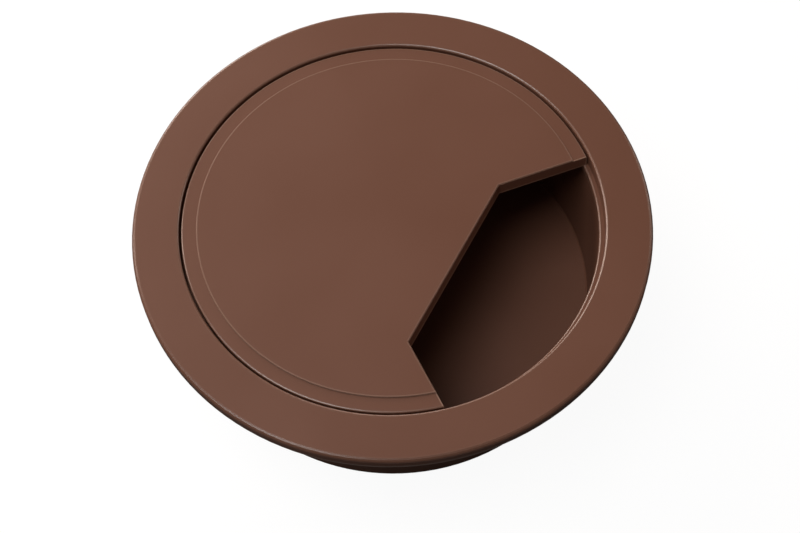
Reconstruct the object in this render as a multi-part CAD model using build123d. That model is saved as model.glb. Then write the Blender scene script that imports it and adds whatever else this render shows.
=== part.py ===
"""Desk cable grommet: a flanged liner for a round hole in a desk top, and the round cap that turns in it.

The origin is on the axis in the plane of the desk's surface, where the flange's underside seats.
+Z is up and +X points out through the cap's notch, square to the notch's long edge.
"""

import os
from math import cos, degrees, radians, sin, sqrt, tan

from build123d import *

# Liner: flange and tube
sleeve_diameter = 79.5
sleeve_depth = 25.4
flange_width = 7.75
flange_thickness = 2.4
flange_edge_radius = 0.8
lead_in_height = 5.0
lead_in_taper = 0.4
foot_edge_chamfer = 0.5

# Liner: seat for the cap and the lip that its hooks run under
neck_wall = 0.8
recess_depth = 2.7
recess_edge_radius = 0.4
ledge_width = 0.95
ledge_edge_radius = 0.3
lip_thickness = 1.2
lip_undercut = 0.6

# Liner: inside wall and floor with its window
inner_draft_deg = 1.6
floor_thickness = 1.5
floor_corner_chamfer = 0.3
window_margin = 3.6
window_edge_x = 3.0
window_corner_radius = 4.0
window_edge_chamfer = 0.4

# Liner: shallow grip ribs on the outside of the tube
grip_rib_count = 12
grip_rib_width = 1.6
grip_rib_height = 0.2
grip_rib_gap = 2.5
grip_rib_length = 10.5
grip_rib_run_out = 1.2

# Cap: turned form
cap_gap = 0.42
cap_drop = 0.35
cap_border = 2.78
cap_step = 0.3
cap_plate = 1.5
cap_skirt_wall = 2.0
cap_edge_radius = 0.3
step_edge_chamfer = 0.12

# Cap: notch for the cables, with one straight edge and two that flare out to the rim
notch_edge_x = 14.4
notch_left_y = 15.0
notch_right_y = -21.0
notch_left_flare_deg = 48.0
notch_right_flare_deg = 36.0
notch_draft_deg = 6.0
notch_edge_chamfer = 0.15
notch_wall = 1.8

# Cap: stiffening ribs under the plate
plate_rib_width = 1.2
plate_rib_depth = 0.6
plate_rib_spacing = 22.0
cross_rib_x = -12.0

# Cap: snap hooks that hold it down and let it turn
hook_angles_deg = (90.0, 180.0, 270.0)
hook_width = 12.0
hook_wall = 1.2
hook_clearance = 0.3
hook_lift = 0.25
hook_barb_height = 0.5
hook_tip_height = 1.6
hook_tip_inset = 0.5

# Radii and heights that follow
sleeve_radius = sleeve_diameter / 2
flange_radius = sleeve_radius + flange_width
recess_radius = sleeve_radius - neck_wall
ledge_radius = recess_radius - ledge_width
relief_radius = ledge_radius + lip_undercut
sleeve_bottom = -sleeve_depth
floor_top = sleeve_bottom + floor_thickness
ledge_top = flange_thickness - recess_depth
lip_bottom = ledge_top - lip_thickness
floor_radius = relief_radius - (lip_bottom - floor_top) * tan(radians(inner_draft_deg))

cap_radius = recess_radius - cap_gap
cap_rim_top = flange_thickness - cap_drop
cap_top = cap_rim_top + cap_step
cap_under = cap_top - cap_plate
cap_disc_radius = cap_radius - cap_border
skirt_inner_radius = cap_radius - cap_skirt_wall

hook_radius = ledge_radius - hook_clearance
hook_barb_radius = relief_radius - hook_clearance
hook_catch = lip_bottom - hook_lift
hook_shoulder = hook_catch - hook_barb_height
hook_bottom = hook_shoulder - hook_tip_height

# How far a cutting tool or an embedded foot reaches past the face that it meets
overcut = 1.0
embed = 0.5


def eased(outline, corner, radius):
    """Round a square corner of an outline with three flats that touch the arc, which keeps the facets few."""
    turn_between_flats = radians(90 / 4)
    middle_length = radius * (2 - sqrt(2))
    end_length = radius * (1 - tan(turn_between_flats / 2)) - middle_length
    outline = chamfer(outline.vertices().sort_by_distance(corner)[0], middle_length)
    return chamfer(outline.vertices().sort_by_distance(corner)[:2], end_length)


def turned(outline_points, rounded=(), chamfered=(), sweep_deg=360.0):
    """Revolve an outline of (radius, height) points about the axis, with some of its corners eased."""
    outline = make_face(Polyline(*outline_points, close=True))
    for corner, radius in rounded:
        outline = eased(outline, Vector(*corner), radius)
    for corner, length in chamfered:
        outline = chamfer(outline.vertices().sort_by_distance(Vector(*corner))[0], length)
    return revolve(Plane.XZ * outline, Axis.Z, sweep_deg)


def arc_segment(outline_points, radius, width):
    """Turn an outline through the arc that a given width takes at a radius, centred on +X."""
    sweep_deg = degrees(width / radius)
    return Rot(0, 0, -sweep_deg / 2) * turned(outline_points, sweep_deg=sweep_deg)


def liner_shell():
    """The flange, the tube with its seat for the cap, and a closed floor, all turned as one profile."""
    foot_radius = sleeve_radius - lead_in_taper
    foot = (foot_radius, sleeve_bottom)
    flange_edge = (flange_radius, flange_thickness)
    recess_edge = (recess_radius, flange_thickness)
    ledge_edge = (ledge_radius, ledge_top)
    floor_corner = (floor_radius, floor_top)
    outline = [
        (0, sleeve_bottom),
        foot,
        (sleeve_radius, sleeve_bottom + lead_in_height),
        (sleeve_radius, 0),
        (flange_radius, 0),
        flange_edge,
        recess_edge,
        (recess_radius, ledge_top),
        ledge_edge,
        (ledge_radius, lip_bottom),
        (relief_radius, lip_bottom),
        floor_corner,
        (0, floor_top),
    ]
    rounded = [
        (flange_edge, flange_edge_radius),
        (recess_edge, recess_edge_radius),
        (ledge_edge, ledge_edge_radius),
    ]
    chamfered = [(foot, foot_edge_chamfer), (floor_corner, floor_corner_chamfer)]
    return turned(outline, rounded, chamfered)


def floor_window():
    """The half-moon way through the floor, on the side away from the notch, with its edges eased."""
    window_radius = floor_radius - window_margin
    half_plane = Pos(window_edge_x - window_radius, 0) * Rectangle(2 * window_radius, 2 * window_radius)
    outline = Circle(window_radius) & half_plane
    outline = fillet(outline.vertices(), window_corner_radius)
    ease = window_edge_chamfer
    way = Pos(0, 0, sleeve_bottom - overcut) * extrude(outline, floor_thickness + 2 * overcut)
    upper_ease = Pos(0, 0, floor_top - ease) * extrude(outline, 2 * ease, taper=-45)
    lower_ease = Pos(0, 0, sleeve_bottom + ease) * extrude(outline, -2 * ease, taper=-45)
    return way + upper_ease + lower_ease


def grip_ribs():
    """Low ribs down the outside of the tube, run out at both ends, that steady it in the desk's hole."""
    upper = -grip_rib_gap
    lower = upper - grip_rib_length
    root = sleeve_radius - embed
    crest = sleeve_radius + grip_rib_height
    outline = [
        (root, lower),
        (sleeve_radius, lower),
        (crest, lower + grip_rib_run_out),
        (crest, upper - grip_rib_run_out),
        (sleeve_radius, upper),
        (root, upper),
    ]
    rib = arc_segment(outline, sleeve_radius, grip_rib_width)
    turns = [index * 360 / grip_rib_count for index in range(grip_rib_count)]
    return [Rot(0, 0, turn) * rib for turn in turns]


def make_sleeve():
    """The liner, moulded as one piece."""
    return liner_shell() + grip_ribs() - floor_window()


def notch_outline():
    """The notch seen from above, with its flared edges carried on past the rim."""
    reach = 2 * flange_radius
    left = (notch_edge_x, notch_left_y)
    right = (notch_edge_x, notch_right_y)
    left_turn = radians(notch_left_flare_deg)
    right_turn = radians(notch_right_flare_deg)
    left_end = (left[0] + reach * cos(left_turn), left[1] + reach * sin(left_turn))
    right_end = (right[0] + reach * cos(right_turn), right[1] - reach * sin(right_turn))
    return make_face(Polyline(left, left_end, right_end, right, close=True))


def notch_cut():
    """The notch as a cutter: walls drafted so that it narrows downwards, and a fine chamfer at the top."""
    ease = notch_edge_chamfer
    full_depth = cap_top - hook_bottom + overcut
    way = Pos(0, 0, cap_top) * extrude(notch_outline(), -full_depth, taper=notch_draft_deg)
    headroom = Pos(0, 0, cap_top - ease) * extrude(notch_outline(), 2 * ease, taper=-45)
    return way + headroom


def cap_disc():
    """The round plate with its raised centre and the skirt that stands on the ledge."""
    rim_edge = (cap_radius, cap_rim_top)
    step_edge = (cap_disc_radius, cap_top)
    outline = [
        (0, cap_under),
        (skirt_inner_radius, cap_under),
        (skirt_inner_radius, ledge_top),
        (cap_radius, ledge_top),
        rim_edge,
        (cap_disc_radius, cap_rim_top),
        step_edge,
        (0, cap_top),
    ]
    return turned(outline, [(rim_edge, cap_edge_radius)], [(step_edge, step_edge_chamfer)])


def notch_border():
    """The notch seen from above, widened by the wall that runs along it."""
    return offset(notch_outline(), notch_wall, kind=Kind.INTERSECTION)


def cap_stiffening():
    """The wall along the notch, as deep as the skirt, and the ribs under the plate, all inside the skirt."""
    inside = Circle(cap_radius - cap_skirt_wall / 2)
    span = 2 * cap_radius
    border = notch_border() & inside
    walls = Pos(0, 0, ledge_top) * extrude(border, cap_under + embed - ledge_top)
    rib_bottom = cap_under - plate_rib_depth
    rib_lines = Pos(cross_rib_x, 0) * Rectangle(plate_rib_width, span)
    for side in (-1, 1):
        rib_lines += Pos(0, side * plate_rib_spacing / 2) * Rectangle(span, plate_rib_width)
    ribs = Pos(0, 0, rib_bottom) * extrude(rib_lines & inside, plate_rib_depth + embed)
    return walls + ribs


def snap_hooks():
    """Tongues below the skirt whose barbs reach under the liner's lip."""
    root = hook_radius - hook_wall
    outline = [
        (root, ledge_top + embed),
        (hook_radius, ledge_top + embed),
        (hook_radius, hook_catch),
        (hook_barb_radius, hook_catch),
        (hook_barb_radius, hook_shoulder),
        (hook_radius - hook_tip_inset, hook_bottom),
        (root, hook_bottom),
    ]
    hook = arc_segment(outline, hook_radius, hook_width)
    return [Rot(0, 0, angle) * hook for angle in hook_angles_deg]


def make_cap():
    """The cap, moulded as one piece."""
    return cap_disc() + cap_stiffening() - notch_cut() + snap_hooks()


pieces = {"sleeve": make_sleeve(), "cap": make_cap()}
os.makedirs("parts", exist_ok=True)
for name, piece in pieces.items():
    solids = piece.solids()
    print(f"{name}: {len(solids)} solid, {piece.volume:.0f} cubic mm")
    export_step(solids[0], f"parts/{name}.step")
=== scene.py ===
# %% [markdown]
# # A desk cable grommet
# This lesson dresses a round, brown, moulded desk grommet: a flanged liner that drops into a hole in a desk,
# and a notched cap that turns in it. Both pieces come from the construction model, at their real size in
# metres, so nothing here moves or resizes them. What is left is the eye's work: a camera, a believable
# moulded plastic, a pale floor and soft light.

# %% Load the construction model
from math import cos, pi, radians, sin

import bpy
from mathutils import Matrix, Vector


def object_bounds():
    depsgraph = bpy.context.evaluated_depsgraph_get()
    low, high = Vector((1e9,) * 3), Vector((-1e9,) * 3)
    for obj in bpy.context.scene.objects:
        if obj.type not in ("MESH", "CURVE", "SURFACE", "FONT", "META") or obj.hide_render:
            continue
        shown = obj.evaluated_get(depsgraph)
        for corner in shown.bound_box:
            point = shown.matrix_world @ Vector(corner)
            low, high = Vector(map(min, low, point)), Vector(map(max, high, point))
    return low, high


MM_PER_METRE = 1000

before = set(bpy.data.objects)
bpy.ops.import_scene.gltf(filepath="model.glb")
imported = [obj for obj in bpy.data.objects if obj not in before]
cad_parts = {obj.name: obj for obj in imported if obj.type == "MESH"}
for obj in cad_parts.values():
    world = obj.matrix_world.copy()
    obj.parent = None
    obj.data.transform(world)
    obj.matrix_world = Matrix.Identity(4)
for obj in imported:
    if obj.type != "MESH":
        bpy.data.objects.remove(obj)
cad_box = [list(corner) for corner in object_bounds()]
box_mm = [[round(MM_PER_METRE * value, 1) for value in corner] for corner in cad_box]
print("pieces:", sorted(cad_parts))
print("box in millimetres:", box_mm)

# %% [markdown]
# ## The camera
# The picture looks down steeply on the grommet, with the notch turned to the lower right. A camera can be
# placed by hand, but here its numbers were solved from the ellipses that the round edges make, so it is set
# from those: how far it turns round the part, how steeply it looks down, how much it leans, how far off it is
# and by how much the part sits beside the middle of the picture.

# %% Place the camera
IMAGE_WIDTH = 800
FOCAL_PIXELS = 1420.4
SENSOR_WIDTH = 36.0
VIEW_TURN = radians(29.95)
VIEW_DROP = radians(61.26)
VIEW_LEAN = radians(-2.49)
VIEW_DISTANCE = 0.2592
PART_RIGHT_OF_MIDDLE = -0.00152
PART_ABOVE_MIDDLE = 0.00912
FLANGE_TOP = 0.0024
NEAREST_SEEN = 0.01

forward = Vector((-sin(VIEW_TURN) * cos(VIEW_DROP), cos(VIEW_TURN) * cos(VIEW_DROP), -sin(VIEW_DROP)))
level_right = Vector((cos(VIEW_TURN), sin(VIEW_TURN), 0))
level_up = level_right.cross(forward)
right = cos(VIEW_LEAN) * level_right + sin(VIEW_LEAN) * level_up
up = -sin(VIEW_LEAN) * level_right + cos(VIEW_LEAN) * level_up
target = Vector((0, 0, FLANGE_TOP))
eye = target - PART_RIGHT_OF_MIDDLE * right - PART_ABOVE_MIDDLE * up - VIEW_DISTANCE * forward

lens = bpy.data.cameras.new("camera")
lens.sensor_width = SENSOR_WIDTH
lens.lens = FOCAL_PIXELS / IMAGE_WIDTH * SENSOR_WIDTH
lens.clip_start = NEAREST_SEEN
camera = bpy.data.objects.new("camera", lens)
axes = Matrix((right, up, -forward)).transposed()
camera.matrix_world = Matrix.Translation(eye) @ axes.to_4x4()
bpy.context.scene.collection.objects.link(camera)
bpy.context.scene.camera = camera
print("lens in millimetres:", round(lens.lens, 1))

# %% [markdown]
# ## A small way to write shader maths
# Shader nodes are easier to read as sums than as boxes and wires. The class below wraps one socket, so that
# `1 - mask * 0.5` adds the Math nodes it needs. Any other node comes from `node`, which takes the node's
# type, its settings and what goes into its sockets.

# %% Wrap sockets
# The Mix node's sockets for colours share their names with those for numbers, so they go by place
MIX_FIRST_COLOUR = 6
MIX_SECOND_COLOUR = 7
MIX_COLOUR_RESULT = 2


class Wire:
    """One output socket of a material's node tree, with the arithmetic that this lesson uses."""

    def __init__(self, tree, socket):
        self.tree = tree
        self.socket = socket

    def node(self, kind, settings=None, inputs=None, output=0):
        """Add a node to the same tree, set it up, feed it and return one of its outputs."""
        made = self.tree.nodes.new(kind)
        for name, value in (settings or {}).items():
            setattr(made, name, value)
        for name, value in (inputs or {}).items():
            feed(self.tree, made.inputs[name], value)
        return Wire(self.tree, made.outputs[output])

    def maths(self, operation, first, second):
        return self.node("ShaderNodeMath", {"operation": operation}, {0: first, 1: second})

    def __add__(self, other):
        return self.maths("ADD", self, other)

    __radd__ = __add__

    def __sub__(self, other):
        return self.maths("SUBTRACT", self, other)

    def __rsub__(self, other):
        return self.maths("SUBTRACT", other, self)

    def __mul__(self, other):
        return self.maths("MULTIPLY", self, other)

    __rmul__ = __mul__

    def spread(self, low, high):
        """Map the stretch from low to high onto 0 to 1, with no overshoot."""
        inputs = {"Value": self, "From Min": low, "From Max": high}
        return self.node("ShaderNodeMapRange", {"clamp": True}, inputs)

    def mix_colours(self, first, second):
        """Blend two colours, with this value as the share of the second."""
        inputs = {"Factor": self, MIX_FIRST_COLOUR: first, MIX_SECOND_COLOUR: second}
        return self.node("ShaderNodeMix", {"data_type": "RGBA"}, inputs, MIX_COLOUR_RESULT)


def feed(tree, socket, value):
    """Link a wire to a socket, or set the socket to a plain value."""
    if isinstance(value, Wire):
        tree.links.new(value.socket, socket)
    else:
        socket.default_value = value


def new_material(name):
    """An empty material with its node tree and its shader."""
    material = bpy.data.materials.new(name)
    material.use_nodes = True
    tree = material.node_tree
    return material, tree, tree.nodes["Principled BSDF"]


print("helpers made: Wire, feed and new_material")

# %% [markdown]
# ## Brown moulded plastic
# The real thing is an injection moulding in coloured plastic, with the fine, even grain that a
# spark-eroded mould leaves. It is satin, not shiny: flat faces hardly vary, and edges catch a thin line of
# light. A flat colour would look like paint, so the finish has four small things at their real scale. The
# grain is a bump of about a quarter of a millimetre. The pigment is a little uneven over centimetres. The
# gloss wanders slightly, as it does where a mould has been polished more in one place than another. At
# the edges, the sharpest parts carry a painted highlight in a paler colour, and the roundings beside them are
# polished, which a thin clear coat stands for. Ambient Occlusion nodes that look inwards find both: just
# below a flat face they meet nothing but plastic, and near an edge they see out of the side. A short look
# finds the edges, and a longer one the roundings.

# %% Make the plastic
PLASTIC_BROWN = (0.141, 0.060, 0.0365, 1.0)
PLASTIC_PALE = (0.150, 0.0655, 0.041, 1.0)
# The paler edge colour is a painted highlight: it stands for the thin line of light that the sharpest edges
# catch.
EDGE_HIGHLIGHT_BROWN = (0.30, 0.18, 0.13, 1.0)
EDGE_HIGHLIGHT_SHARE = 0.8
COAT_SHARE = 0.8
GRAINS_PER_METRE = 3800.0
CLOUDS_PER_METRE = 40.0
NOISE_DETAIL = 2.0
GRAIN_DEPTH = 0.00002
GRAIN_STRENGTH = 0.35
EDGE_REACH = 0.0003
ROUNDING_REACH = 0.0006
SATIN_ROUGHNESS = 0.42
CLOUD_ROUGHNESS = 0.06
GRAIN_ROUGHNESS = 0.05
ROUGHNESS_POLISHED_OFF = 0.16


def moulded_plastic():
    """Satin brown plastic with mould grain, faint clouds in the pigment, uneven gloss and a painted highlight
    on the edges.
    """
    material, tree, shader = new_material("moulded_brown_plastic")
    coordinates = tree.nodes.new("ShaderNodeTexCoord")
    place = Wire(tree, coordinates.outputs["Object"])
    noise = {"noise_dimensions": "3D"}
    fine = {"Vector": place, "Scale": GRAINS_PER_METRE, "Detail": NOISE_DETAIL}
    broad = {"Vector": place, "Scale": CLOUDS_PER_METRE, "Detail": NOISE_DETAIL}
    grain = place.node("ShaderNodeTexNoise", noise, fine)
    clouds = place.node("ShaderNodeTexNoise", noise, broad)
    inward = {"inside": True, "only_local": True, "samples": 8}
    under_edges = place.node("ShaderNodeAmbientOcclusion", inward, {"Distance": EDGE_REACH}, "AO")
    under_roundings = place.node("ShaderNodeAmbientOcclusion", inward, {"Distance": ROUNDING_REACH}, "AO")
    # Painted highlight: the sharpest edges, found by the short inward look, are given the paler colour.
    painted_edge_highlight = (1 - under_edges).spread(low=0.05, high=0.18)
    polished = (1 - under_roundings).spread(low=0.0, high=0.12)
    pigment = clouds.spread(low=0.35, high=0.65).mix_colours(PLASTIC_BROWN, PLASTIC_PALE)
    satin = SATIN_ROUGHNESS + CLOUD_ROUGHNESS * clouds + GRAIN_ROUGHNESS * grain
    bump_settings = {"Height": grain, "Distance": GRAIN_DEPTH, "Strength": GRAIN_STRENGTH}
    bump = grain.node("ShaderNodeBump", inputs=bump_settings)
    # The base colour carries the painted edge highlight.
    feed(tree, shader.inputs["Base Color"], (EDGE_HIGHLIGHT_SHARE * painted_edge_highlight).mix_colours(pigment, EDGE_HIGHLIGHT_BROWN))
    feed(tree, shader.inputs["Roughness"], satin - ROUGHNESS_POLISHED_OFF * polished)
    feed(tree, shader.inputs["Coat Weight"], COAT_SHARE * polished)
    feed(tree, shader.inputs["Normal"], bump)
    shader.inputs["Coat Roughness"].default_value = 0.22
    shader.inputs["Coat IOR"].default_value = 1.77
    shader.inputs["IOR"].default_value = 1.49
    shader.inputs["Specular IOR Level"].default_value = 0.26
    return material


plastic = moulded_plastic()
print(plastic.name, "has", len(plastic.node_tree.nodes), "nodes")

# %% Dress the pieces
for name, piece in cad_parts.items():
    piece.data.materials.clear()
    piece.data.materials.append(plastic)
    print(name, "is finished in", plastic.name)

# %% [markdown]
# ## Floor
# The grommet stands on the foot of its tube on a plain pale floor, which is laid a hair lower so that no
# two faces lie in one plane. To a camera the floor reads as white paper. A lamp strong enough for that
# would bleach the plastic, so the floor is dark grey to the lamps and glows for rays that come from the
# camera, and faintly for reflections. The soft shadow of the part stays on it.

# %% Lay the floor
FLOOR_SIZE = 6.0
CLEARANCE = 0.00005

floor_level = cad_box[0][2] - CLEARANCE
bpy.ops.object.select_all(action="DESELECT")
bpy.ops.mesh.primitive_plane_add(size=FLOOR_SIZE, location=(0, 0, floor_level))
floor = bpy.context.active_object
floor.name = "floor"
bpy.ops.object.transform_apply(location=True, rotation=True, scale=True)
print("floor at", round(MM_PER_METRE * floor_level, 2), "mm")

# %% Paint the floor
FLOOR_GREY = (0.06, 0.06, 0.06, 1.0)
FLOOR_GLOW = 0.94
MIRRORED_GLOW = 0.02

floor_paint, floor_tree, floor_shader = new_material("white_floor")
floor_shader.inputs["Base Color"].default_value = FLOOR_GREY
floor_shader.inputs["Roughness"].default_value = 0.9
path = floor_tree.nodes.new("ShaderNodeLightPath")
seen = Wire(floor_tree, path.outputs["Is Camera Ray"])
mirrored = Wire(floor_tree, path.outputs["Is Glossy Ray"])
through = Wire(floor_tree, path.outputs["Is Transmission Ray"])
reflected = mirrored.maths("MAXIMUM", mirrored, through)
glow = floor_tree.nodes.new("ShaderNodeEmission")
glow.inputs["Color"].default_value = (1.0, 1.0, 1.0, 1.0)
feed(floor_tree, glow.inputs["Strength"], FLOOR_GLOW * seen + MIRRORED_GLOW * reflected)
both = floor_tree.nodes.new("ShaderNodeAddShader")
floor_tree.links.new(floor_shader.outputs[0], both.inputs[0])
floor_tree.links.new(glow.outputs[0], both.inputs[1])
floor_tree.links.new(both.outputs[0], floor_tree.nodes["Material Output"].inputs["Surface"])
floor.data.materials.append(floor_paint)
print("floor is finished in", floor_paint.name)

# %% [markdown]
# ## Light
# A studio lights such a part with one large softbox overhead, a panel behind it on the left, and low strips
# at the left, at the back and at the right. The softbox hangs a little to the left and towards the viewer,
# so it fills the flat faces evenly, reaches down through the notch and leaves upright walls dark. The panel
# and the strips are a little warmer. They graze the flat faces, so they add less there, but they stand
# where the small flats of a rounded edge mirror them to the camera, as thin bright lines: the panel and the
# left strip along the left rims and beside the notch, the back strip along edges that face away, and the
# right strip faintly along the right rim. The rest is a weak even surround. Together they come to a plain
# level, at which a white card would just be white.

# %% Set the surround
SURROUND_LEVEL = 0.10
WARM_WHITE = (1.0, 0.86, 0.77)

surround = bpy.data.worlds.new("surround")
bpy.context.scene.world = surround
surround.use_nodes = True
surround_light = surround.node_tree.nodes["Background"]
surround_light.inputs["Color"].default_value = (*WARM_WHITE, 1.0)
surround_light.inputs["Strength"].default_value = SURROUND_LEVEL
bpy.context.scene.view_settings.view_transform = "Standard"
print("surround level:", SURROUND_LEVEL)

# %% Hang the lights
WHITE = (1.0, 1.0, 1.0)

away = Vector((forward.x, forward.y, 0)).normalized()
left = -level_right
above = Vector((0, 0, 1))


def soft_light(name, colour, way, distance, width, height, card_level):
    """A flat soft light that faces the part and lights a level white card there to a given level."""
    way = way.normalized()
    lamp = bpy.data.lights.new(name, "AREA")
    lamp.color = colour
    lamp.shape = "RECTANGLE"
    lamp.size = width
    lamp.size_y = height
    lamp.energy = card_level * (pi * distance) ** 2 / way.z
    holder = bpy.data.objects.new(name, lamp)
    holder.location = distance * way
    holder.rotation_euler = (-way).to_track_quat("-Z", "Y").to_euler()
    bpy.context.scene.collection.objects.link(holder)
    print(name, "at", [round(value, 3) for value in holder.location], "power", round(lamp.energy, 2))


overhead_left = 0.38 * left - 0.16 * away + above
back_left = 0.56 * left + 0.58 * away + 0.60 * above
low_left = 0.66 * left + 0.74 * away + 0.16 * above
low_back = 0.22 * left + 0.91 * away + 0.34 * above
low_right = -0.81 * left + 0.485 * away + 0.33 * above
soft_light("softbox", WHITE, overhead_left, distance=0.48, width=0.32, height=0.32, card_level=0.57)
soft_light("left_panel", WARM_WHITE, back_left, distance=0.60, width=0.44, height=0.17, card_level=0.24)
soft_light("left_strip", WARM_WHITE, low_left, distance=0.45, width=0.45, height=0.11, card_level=0.072)
soft_light("back_strip", WARM_WHITE, low_back, distance=0.45, width=0.38, height=0.09, card_level=0.07)
soft_light("right_strip", WARM_WHITE, low_right, distance=0.45, width=0.20, height=0.20, card_level=0.045)
